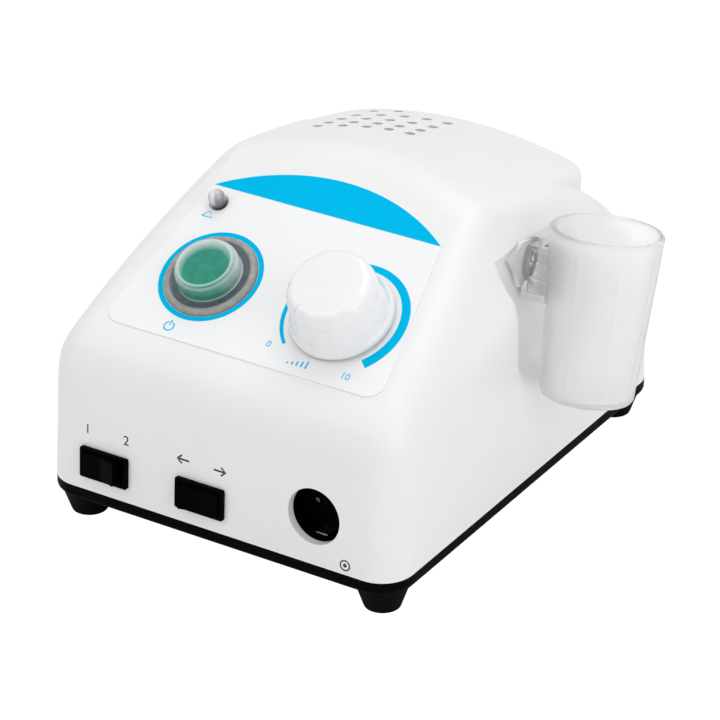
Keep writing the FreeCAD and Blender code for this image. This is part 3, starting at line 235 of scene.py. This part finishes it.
# Name band: a plain blue field between a straight line and the long arc at the film's top.
# It is screen-printed ink, and the arc ends in the film's two upper corners.
def clean(data, smooth):
    """Merges doubled points, which closes seams and poles, drops points that no face uses,
    turns all faces outwards and shades them smooth or flat."""
    work = bmesh.new()
    work.from_mesh(data)
    bmesh.ops.remove_doubles(work, verts=work.verts, dist=2e-7)
    loose = [v for v in work.verts if not v.link_faces]
    bmesh.ops.delete(work, geom=loose, context="VERTS")
    bmesh.ops.recalc_face_normals(work, faces=work.faces)
    work.to_mesh(data)
    work.free()
    data.polygons.foreach_set("use_smooth", [smooth] * len(data.polygons))


def linked(name, data):
    """New object for a mesh, curve, light or camera, linked to the scene."""
    made = bpy.data.objects.new(name, data)
    bpy.context.scene.collection.objects.link(made)
    return made


def mesh_piece(name, points, faces, mat, body, place, smooth=True):
    """Mesh object from an array of points in mm in a local frame, riding on a body if one is named.
    The local points stay on the mesh as the attribute "local"."""
    turn = np.array(place)
    data = bpy.data.meshes.new(name)
    data.from_pydata((points * 0.001 @ turn[:3, :3].T + turn[:3, 3]).tolist(), [], faces)
    data.attributes.new("local", "FLOAT_VECTOR", "POINT").data.foreach_set("vector", points.ravel())
    clean(data, smooth)
    data.materials.append(mat)
    piece = linked(name, data)
    if body:
        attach(piece, body)
    return piece


def grid_faces(rows, columns, close_rows):
    """Faces of a grid of points: its columns close on themselves, its rows if asked for."""
    steps = rows if close_rows else rows - 1
    i, j = np.meshgrid(np.arange(steps), np.arange(columns), indexing="ij")
    k, n = (i + 1) % rows, (j + 1) % columns
    corners = (i * columns + j, k * columns + j, k * columns + n, i * columns + n)
    return np.stack(corners, axis=2).reshape(-1, 4)


def ribbon(left, right, base, closed=False):
    """Layer of ink: a flat box section, 0.04 mm high from base, carried along two lines in step."""
    top = base + 0.04
    lines = ((left, base), (right, base), (right, top), (left, top))
    points = np.stack([np.column_stack((line, np.full(len(line), z))) for line, z in lines], axis=1)
    faces = grid_faces(len(left), 4, closed).tolist()
    if not closed:
        last = 4 * (len(left) - 1)
        faces += [[3, 2, 1, 0], [last, last + 1, last + 2, last + 3]]
    return points.reshape(-1, 3), faces


# Its upper edge is y = crown - R + sqrt(R^2 - x^2), less the film's bare rim.
half_width, corner_height, crown_height, bare_rim = 38.7, 52.8, 65.2, 0.15
arc_rise = crown_height - corner_height
arc_radius = (half_width ** 2 + arc_rise ** 2) / (2 * arc_rise)
band_x = np.linspace(0.2 - half_width, half_width - 0.2, 81)
band_y = crown_height - arc_radius + np.sqrt(arc_radius ** 2 - band_x ** 2) - bare_rim
points, faces = ribbon(np.column_stack((band_x, np.full(81, corner_height))),
                       np.column_stack((band_x, band_y)), film_top)
band = mesh_piece("name_band", points, faces, ink, "cabinet", panel, False)


# Ring printed round the power button, in the same ink.
# It lies just outside the rubber flange.
def arc(cx, cy, radius, start, stop, steps):
    """Points (cx + r cos a, cy + r sin a), a in degrees from start to stop in even steps."""
    a = np.radians(np.linspace(start, stop, steps + 1))
    return np.column_stack((cx + radius * np.cos(a), cy + radius * np.sin(a)))


button_at, ring_inside, ring_outside = (-22.16, 22.84), 14.3, 15.8
points, faces = ribbon(arc(*button_at, ring_inside, 0, 360, 128)[:-1],
                       arc(*button_at, ring_outside, 0, 360, 128)[:-1], film_top, True)
ring = mesh_piece("power_ring_print", points, faces, ink, "cabinet", panel, False)

# Speed scale: an arc of ink that grows wider clockwise from the low to the high end.
# Its outer radius grows by 1.2 mm and its width by 2.1 mm over 270 degrees.
knob_at, low_end, high_end = (23.19, 21.96), 227, -43
sweep = arc(0, 0, 1, low_end, high_end, 120)
growth = np.linspace(0, 1, 121)[:, None]
points, faces = ribbon(sweep * (18.5 + 1.2 * growth) + knob_at,
                       sweep * (17.5 - 0.9 * growth) + knob_at, film_top)
scale = mesh_piece("speed_scale_print", points, faces, ink, "cabinet", panel, False)


# Plain digits: 0 and 10 at the ends of the speed scale, 1 and 2 beside the mode rocker.
# The first pair is blue ink on the film, the second black ink on the housing's leaning front.
def figure(name, text, size, x, y, lift, place, mat):
    """Digits of the given size in mm, centred on x, y, as a mesh in its place."""
    curve = bpy.data.curves.new(name, "FONT")
    curve.body = text
    curve.size = size * 0.001
    curve.align_x = "CENTER"
    curve.align_y = "CENTER"
    curve.extrude = 0.00002
    draft = linked(name + "_draft", curve)
    solid = draft.evaluated_get(bpy.context.evaluated_depsgraph_get())
    data = bpy.data.meshes.new_from_object(solid)
    bpy.data.objects.remove(draft)
    bpy.data.curves.remove(curve)
    data.name = name
    data.transform(place @ Matrix.Translation((x * 0.001, y * 0.001, lift * 0.001)))
    clean(data, False)
    data.materials.clear()
    data.materials.append(mat)
    piece = linked(name, data)
    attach(piece, "cabinet")


black_ink = plastic("black_ink", (0.012, 0.012, 0.014), (0.02, 0.02, 0.022), 0.5, 1500.0, 0.00001)
lean = math.radians(86.5)
front = middle @ Matrix.Translation((0, -0.0763, 0.0124)) @ Matrix.Rotation(lean, 4, "X")
front_row = 19.6
figure("scale_low_figure", "0", 3.0, 6.6, 7.2, film_top + 0.025, panel, ink)
figure("scale_high_figure", "10", 3.0, 33.6, 4.2, film_top + 0.025, panel, ink)
figure("mode_figure_1", "1", 4.2, -44.0, front_row, 0.03, front, black_ink)
figure("mode_figure_2", "2", 4.2, -30.5, front_row, 0.03, front, black_ink)


# Plain signs: a power sign, a row of growing bars and a triangle on the film, arrows over the
# direction rocker and a ringed dot by the motor socket, each drawn in even strokes of ink.
def signs(name, strokes, lift, place, mat):
    """Strokes, each a line of points and a width: the line plus and less width / 2 times its
    normal, all in one mesh."""
    all_points, all_faces = [], []
    count = 0
    for line, width in strokes:
        line = np.array(line)
        along = np.gradient(line, axis=0)
        along /= np.linalg.norm(along, axis=1, keepdims=True)
        side = np.column_stack((-along[:, 1], along[:, 0])) * width / 2
        points, faces = ribbon(line - side, line + side, lift)
        all_points.append(points)
        all_faces += [[k + count for k in face] for face in faces]
        count += len(points)
    mesh_piece(name, np.concatenate(all_points), all_faces, mat, "cabinet", place, False)


signs("power_sign_print", [(arc(-25.2, 3.6, 1.5, 120, 420, 40), 0.42),
                           ([(-25.2, 3.9), (-25.2, 5.7)], 0.42)], film_top, panel, ink)
signs("speed_sign_print", [([(15.0 + 1.5 * i, 3.0), (15.0 + 1.5 * i, 3.6 + 0.45 * i)], 0.5)
                           for i in range(5)], film_top, panel, ink)
signs("lamp_sign_print", [([(-36.4, 41.6), (-34.6, 43.6), (-32.8, 41.6), (-36.4, 41.6)], 0.3)],
      film_top, panel, ink)
arrows = []
for arrow_x, way in ((-10.6, -1), (1.6, 1)):
    tail, tip, barb = arrow_x - 1.9 * way, arrow_x + 2.1 * way, arrow_x + 0.6 * way
    arrows.append(([(tail, front_row), (arrow_x + 1.6 * way, front_row)], 0.55))
    arrows.append(([(barb, front_row + 1.3), (tip, front_row), (barb, front_row - 1.3)], 0.55))
signs("direction_arrows_print", arrows, 0.01, front, black_ink)
signs("motor_sign_print", [(arc(44.0, 2.9, 1.5, 0, 360, 40), 0.4),
                           (arc(44.0, 2.9, 0.35, 0, 360, 20), 0.5)], 0.01, front, black_ink)


# Power button's boot: one clouded silicone moulding with a flange, a groove and a thick round pad.
# The green cap inside shows through the pad's top and lower side.
def lathe(outline, length, steps, form=None):
    """Closed outline of (r, h) in mm turned about Z: the point (r cos a, r sin a, h).
    Sides are cut to at most length, and form(r, h, a) may move r and h.
    A side on the axis has no faces."""
    starts = np.array(outline, dtype=float)
    ends = np.roll(starts, -1, axis=0)
    cuts = np.maximum(1, np.ceil(np.hypot(*(ends - starts).T) / length)).astype(int)
    part = np.concatenate([np.arange(n) / n for n in cuts])[:, None]
    line = np.repeat(starts, cuts, axis=0) * (1 - part) + np.repeat(ends, cuts, axis=0) * part
    a = np.linspace(0, 2 * np.pi, steps, endpoint=False)[:, None] + 0 * line[:, 0]
    r, h = line[:, 0] + 0 * a, line[:, 1] + 0 * a
    if form:
        r, h = form(r, h, a)
    faces = grid_faces(steps, len(line), True)
    on_axis = line[:, 0] < 1e-6
    first = np.tile(np.arange(len(line)), steps)
    faces = faces[~(on_axis[first] & on_axis[(first + 1) % len(line)])]
    return np.stack((r * np.cos(a), r * np.sin(a), h), axis=2).reshape(-1, 3), faces.tolist()


def on_panel(x, y):
    """Frame square to the panel's slope at x, y in mm."""
    return panel @ Matrix.Translation((x / 1000, y / 1000, 0))


def local(look):
    """The three parts of a mesh's own "local" attribute, in mm."""
    vector = look.node("ShaderNodeAttribute", {"attribute_name": "local"}, {}, "Vector")
    return [look.node("ShaderNodeSeparateXYZ", {}, {0: vector}, axis) for axis in "XYZ"]


silicone, look = material("boot_silicone", Specular_IOR_Level=0.35, Coat_Weight=0.25,
                          Coat_Roughness=0.25)
u, v, h = local(look)
radius = look.math("SQRT", u * u + v * v)
cloud = look.noise(420.0, 4.0)
off_u, off_v = u - 1.2, v + 1.5
core = look.math("SQRT", off_u * off_u + off_v * off_v) + (cloud - 0.5) * 1.6
disc = core.between(9.3, 6.5) * h.between(5.9, 6.5)
flank = v.between(3.0, -6.0) * h.between(6.7, 5.4) * h.between(0.9, 2.0) * 0.9
milk = cloud.between(0.3, 0.7).mix((0.52, 0.60, 0.58), (0.42, 0.51, 0.50))
deep = cloud.between(0.3, 0.7).mix((0.006, 0.27, 0.185), (0.004, 0.19, 0.13))
pad = look.math("MAXIMUM", disc, flank).mix(milk, deep)
# Painted highlight: a pale ring along the pad's upper edge.
painted_rim_highlight = radius.between(7.6, 7.95) * radius.between(8.65, 8.25) * h.between(6.0, 6.3)
pad = (painted_rim_highlight * 0.6).mix(pad, (0.55, 0.70, 0.66))
# Painted shade: the groove between pad and flange is coloured dark where the overhanging pad shades
# it.
groove_painted_shade = cloud.between(0.3, 0.7).mix((0.065, 0.09, 0.115), (0.10, 0.13, 0.155))
flange = cloud.between(0.35, 0.65).mix((0.36, 0.345, 0.315), (0.27, 0.265, 0.25))
around = radius.between(11.7, 12.3).mix(groove_painted_shade, flange)
finish(look, radius.between(9.74, 9.9).mix(pad, around), look.noise(500.0, 3.0) * 0.16 + 0.30,
       look.noise(900.0, 3.0), 0.00003)
boot_outline = [(14.0, 0.0), (14.0, 0.5), (13.85, 1.1), (13.45, 1.55), (12.9, 1.75), (12.35, 1.7),
                (11.95, 1.5), (11.75, 1.35), (11.4, 1.3), (10.0, 1.3), (9.65, 1.4), (9.5, 1.8),
                (9.6, 2.6), (9.7, 3.4), (9.7, 4.1), (9.6, 4.9), (9.3, 5.7), (8.9, 6.35), (8.5, 6.8),
                (8.2, 6.98), (7.9, 6.98), (7.6, 6.86), (7.2, 6.8), (4.0, 6.8), (0.0, 6.85),
                (0.0, 5.9), (7.2, 5.8), (7.7, 5.4), (9.1, 3.6), (9.1, 1.05), (11.5, 1.05),
                (11.5, 0.0)]
points, faces = lathe(boot_outline, 0.5, 128)
power = on_panel(*button_at)
boot = mesh_piece("silicone_boot", points, faces, silicone, None, power)
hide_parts("button_boot")
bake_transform(boot)

# Button cap: the green core inside the boot, moulded in tinted acrylic.
# It carries the boot's pad down onto the switch.
core_green = plastic("core_green", (0.01, 0.50, 0.33), (0.01, 0.42, 0.27), 0.35, 900.0, 0.00002)
dress(core_green, "button_cap")

# Return spring under the cap: a 0.7 mm wire wound in four and a half turns of zinc-plated steel.
# A point lies at radius R + w cos b and angle a, and at height rise * a / (all turns) + w sin b.
coil_radius, wire_radius, coil_turns, coil_foot, coil_rise = 4.6, 0.35, 4.5, -11.15, 5.8
rings, sides = 201, 10
wound = np.linspace(0, 1, rings)[:, None]
winding = 2 * np.pi * coil_turns * wound
about_wire = np.linspace(0, 2 * np.pi, sides, endpoint=False)
reach = coil_radius + wire_radius * np.cos(about_wire) + 0 * wound
height = coil_foot + coil_rise * wound + wire_radius * np.sin(about_wire)
points = np.stack((reach * np.cos(winding), reach * np.sin(winding), height), axis=2)
last = (rings - 1) * sides
faces = grid_faces(rings, sides, False).tolist()
faces += [list(range(sides - 1, -1, -1)), list(range(last, last + sides))]
spring = mesh_piece("return_spring", points.reshape(-1, 3), faces, zinc, "cabinet", power)
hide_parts("button_spring")
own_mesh(spring)

# Speed knob: a tapered crown of bright white ABS with a soft upper edge and twelve shallow flutes.
# A sharper groove down the side and across the edge is its pointer, a set screw holds it on the
# shaft, and it turns.
pointer, flutes, flute_depth, groove_depth, groove_side = math.radians(-118), 12, 0.26, 0.95, 0.85


def ramp(x, low, high):
    """Smooth step 3 t^2 - 2 t^3, t going from 0 at low to 1 at high."""
    t = np.clip((x - low) / (high - low), 0.0, 1.0)
    return t * t * (3 - 2 * t)


def knob_form(r, h, a):
    """On the outside, r less the flutes' depth times (0.5 + 0.5 cos 12 a) and less a V groove at
    the pointer, which also lowers the top's edge by up to 0.7 mm."""
    outside = (r >= 8.5) & ((r >= 13.2) | (h >= 13.3))
    side = ramp(h, 3.7, 5.2) * (1 - ramp(h, 16.0, 16.55))
    wave = 0.5 + 0.5 * np.cos(flutes * (a - pointer - math.pi / flutes))
    away = np.abs((a - pointer + np.pi) % (2 * np.pi) - np.pi) * r
    groove = np.maximum(0.0, 1.0 - away / groove_side) * ramp(h, 3.6, 4.4)
    cut = side * (flute_depth * wave + groove_depth * groove)
    dip = 0.7 * groove * ramp(r, 9.6, 11.4) * (1 - side)
    return np.where(outside, r - cut, r), np.where(outside, h - dip, h)


knob_white = plastic("knob_white", (0.83, 0.83, 0.84), (0.80, 0.80, 0.82), 0.26, 1800.0, 0.00001,
                     Coat_Weight=0.4, Coat_Roughness=0.16)
knob_outline = [(15.2, 1.3), (15.2, 2.85), (15.05, 3.15), (14.6, 3.3), (14.4, 3.7), (14.25, 4.6),
                (13.0, 12.6), (12.7, 14.3), (12.4, 15.2), (11.9, 15.9), (11.2, 16.35),
                (10.3, 16.55), (8.5, 16.6), (0.0, 16.6), (0.0, 4.6), (6.0, 4.6), (6.0, 13.2),
                (10.8, 13.2), (13.0, 3.4), (13.0, 1.3)]
points, faces = lathe(knob_outline, 0.7, 400, knob_form)
knob = mesh_piece("fluted_knob", points, faces, knob_white, "speed_control", on_panel(*knob_at))
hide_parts("speed_knob")

# Overload lamp: a water-clear dome, clipped in from behind, with painted shade where it dips into
# the panel.
# Its colour is painted light and shade: grey rising to a paler painted top, and a painted highlight
# streak down its left side.
lamp_clear, look = material("lamp_clear", Coat_Weight=1.0, Coat_Roughness=0.05,
                            Specular_IOR_Level=0.6)
u, v, h = local(look)
wave = look.noise(700.0, 2.0)
# Painted light and shade: dark where the dome dips into the panel, paler towards its top and its
# left.
painted_light_level = h + (wave - 0.5) * 1.6 - u * 0.25
painted_light_and_shade = painted_light_level.between(0.6, 2.2).mix((0.012, 0.012, 0.013), (0.16, 0.155, 0.16))
painted_light_and_shade = painted_light_level.between(2.2, 5.0).mix(painted_light_and_shade, (0.46, 0.46, 0.48))
# Painted highlight: a pale streak down the dome's left side.
across = u + v * 0.35
streak = across.between(-1.9, -0.9) * across.between(0.5, -0.4) * h.between(1.8, 3.2)
finish(look, (streak * 0.8).mix(painted_light_and_shade, (0.86, 0.86, 0.87)), wave * 0.1 + 0.04, wave, 0.00001)
lamp_radius, dome_foot = 2.5, 2.8
dome = arc(0, dome_foot, lamp_radius, 0, 90, 12)[1:-1].tolist()
lamp_outline = [(2.9, -6.0), (2.9, -5.0), (lamp_radius, -5.0), (lamp_radius, dome_foot), *dome,
                (0.0, dome_foot + lamp_radius), (0.0, -6.0)]
points, faces = lathe(lamp_outline, 0.6, 64)
lamp = mesh_piece("clear_dome", points, faces, lamp_clear, "cabinet", on_panel(-33.6, 47.2))
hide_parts("overload_lamp")

# Cup: frosted styrene with a thick rolled rim, flush with a wall that tapers to the foot.
# Eight fine flutes run down its outside, and a lug slides into the bracket.
frost, look = material("cup_frost", Transmission_Weight=0.90, IOR=1.18)
finish(look, look.noise(160.0, 4.0).between(0.3, 0.7).mix((1.0, 1.0, 1.0), (0.975, 0.975, 0.98)),
       look.noise(420.0, 3.0) * 0.16 + 0.34, look.noise(900.0, 3.0), 0.00003)


def cup_form(r, h, a):
    """On the outer wall, r less 0.28 mm times 1 - (s / 0.95)^2, s the arc length from the nearest
    of eight flutes, which fade out at both ends."""
    wall = 13.55 + 2.75 * h / 46.5
    outside = (np.abs(r - wall) <= 0.25) & (h >= 2.0) & (h <= 45.5)
    step = 2 * np.pi / 8
    away = np.abs((a + step / 2) % step - step / 2) * r
    flute = 0.28 * np.maximum(0.0, 1 - (away / 0.95) ** 2)
    fade = ramp(h, 2.4, 4.0) * (1 - ramp(h, 43.6, 44.8))
    return np.where(outside, r - flute * fade, r), h


cup_outline = [(0.0, 0.0), (12.2, 0.0), (13.1, 0.35), (13.55, 1.2), (16.3, 46.5), (16.48, 48.2),
               (16.42, 49.3), (16.05, 49.85), (15.5, 50.0), (14.95, 49.85), (14.6, 49.3),
               (14.55, 48.0), (14.75, 46.5), (12.3, 2.4), (11.7, 1.75), (11.0, 1.6), (0.0, 1.6)]
points, faces = lathe(cup_outline, 1.2, 320, cup_form)
lug = np.array([(x, y, z) for z in (26.5, 40.0)
                for x, y in ((-18.4, -2), (-14.3, -2), (-14.3, 2), (-18.4, 2))])
lug_faces = np.array([(0, 3, 2, 1), (4, 5, 6, 7), (0, 1, 5, 4), (1, 2, 6, 5), (2, 3, 7, 6),
                      (3, 0, 4, 7)])
faces += (lug_faces + len(points)).tolist()
cup_turn = Matrix.Rotation(math.radians(-10.7), 4, "X")
rim_middle, cup_height = Vector((0.074, 0.01515, 0.089)), 0.050
cup_foot = rim_middle - cup_turn @ Vector((0, 0, cup_height))
cup = mesh_piece("frosted_cup", np.concatenate((points, lug)), faces, frost, "cup",
                 middle @ Matrix.Translation(cup_foot) @ cup_turn)
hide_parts("holder_cup")

# Cup bracket: clear styrene, seen as pale grey with darker edges.
# It turns on a screw with a washer in the housing's scoop.
clear, look = material("bracket_clear", Transmission_Weight=0.62, IOR=1.2)
finish(look, look.noise(200.0, 3.0).between(0.3, 0.7).mix((1.0, 1.0, 1.0), (0.88, 0.89, 0.90)),
       look.noise(300.0, 3.0) * 0.12 + 0.06, look.noise(700.0, 3.0), 0.00003)
dress(clear, "holder_bracket")


# Floor and surround: a wide matt pale plane under the feet in an even white studio.
# Camera and transmission rays see both as plain white; only the rest lights the object.
def seen_white(tree, lit, white, output):
    """Mixes the lit surface with a white one wherever a camera or transmission ray arrives."""
    path = tree.nodes.new("ShaderNodeLightPath")
    look = Look(tree)
    seen = look.math("MAXIMUM", Look(tree, path.outputs["Is Camera Ray"]),
                     Look(tree, path.outputs["Is Transmission Ray"]))
    white.inputs["Strength"].default_value = 1.05
    blend = look.node("ShaderNodeMixShader", {}, {0: seen, 1: Look(tree, lit.outputs[0]),
                                                  2: Look(tree, white.outputs[0])})
    tree.links.new(blend.socket, output)


floor_white, look = material("floor_white", Base_Color=(0.9, 0.9, 0.9, 1.0), Roughness=0.9)
nodes = look.tree.nodes
seen_white(look.tree, nodes["Principled BSDF"], nodes.new("ShaderNodeEmission"),
           nodes["Material Output"].inputs["Surface"])
floor_mesh = bpy.data.meshes.new("floor")
floor_mesh.from_pydata([(-4, -4, 0), (4, -4, 0), (4, 4, 0), (-4, 4, 0)], [], [(0, 1, 2, 3)])
floor_mesh.materials.append(floor_white)
floor = linked("floor", floor_mesh)
world = bpy.data.worlds.new("studio")
bpy.context.scene.world = world
world.use_nodes = True
nodes = world.node_tree.nodes
nodes["Background"].inputs["Color"].default_value = (1, 1, 1, 1)
nodes["Background"].inputs["Strength"].default_value = 0.68
seen_white(world.node_tree, nodes["Background"], nodes.new("ShaderNodeBackground"),
           nodes["World Output"].inputs["Surface"])


# Lights: three large soft boxes, a weak key from the upper left front, a top light over the rear
# and a fill from the right.
def soft_box(name, power, size, place):
    """Square area light of the given power in watts and side in metres, aimed at the object."""
    area = bpy.data.lights.new(name, "AREA")
    area.energy = power
    area.size = size
    light = linked(name, area)
    light.location = place
    aim = Vector((0, 0, 0.05)) - Vector(place)
    light.rotation_euler = aim.to_track_quat("-Z", "Y").to_euler()


soft_box("key", 2.5, 0.9, (-0.5, -0.7, 1.1))
soft_box("top", 5.5, 1.0, (0.0, 0.3, 1.3))
soft_box("fill", 2.8, 0.8, (0.95, -0.35, 0.55))

# Camera: its place, turn, tilt and focal length in pixels were solved from the photograph.
# It has no roll, no shift and no depth of field.
turn, tilt = math.radians(32.307), math.radians(28.009)
focal_pixels, photo_pixels = 3620.25, 720
right = Vector((math.cos(turn), math.sin(turn), 0))
up = Vector((-math.sin(turn) * math.sin(tilt), math.cos(turn) * math.sin(tilt), math.cos(tilt)))
camera_data = bpy.data.cameras.new("camera")
camera_data.sensor_width = 36.0
camera_data.lens = focal_pixels / photo_pixels * 36.0
camera_data.clip_start = 0.05
camera_data.clip_end = 20.0
camera = linked("camera", camera_data)
axes = Matrix((right, up, right.cross(up))).transposed().to_4x4()
camera.matrix_world = middle @ Matrix.Translation((0.50658, -0.79984, 0.53670)) @ axes
bpy.context.scene.camera = camera
bpy.context.scene.view_settings.view_transform = "Standard"
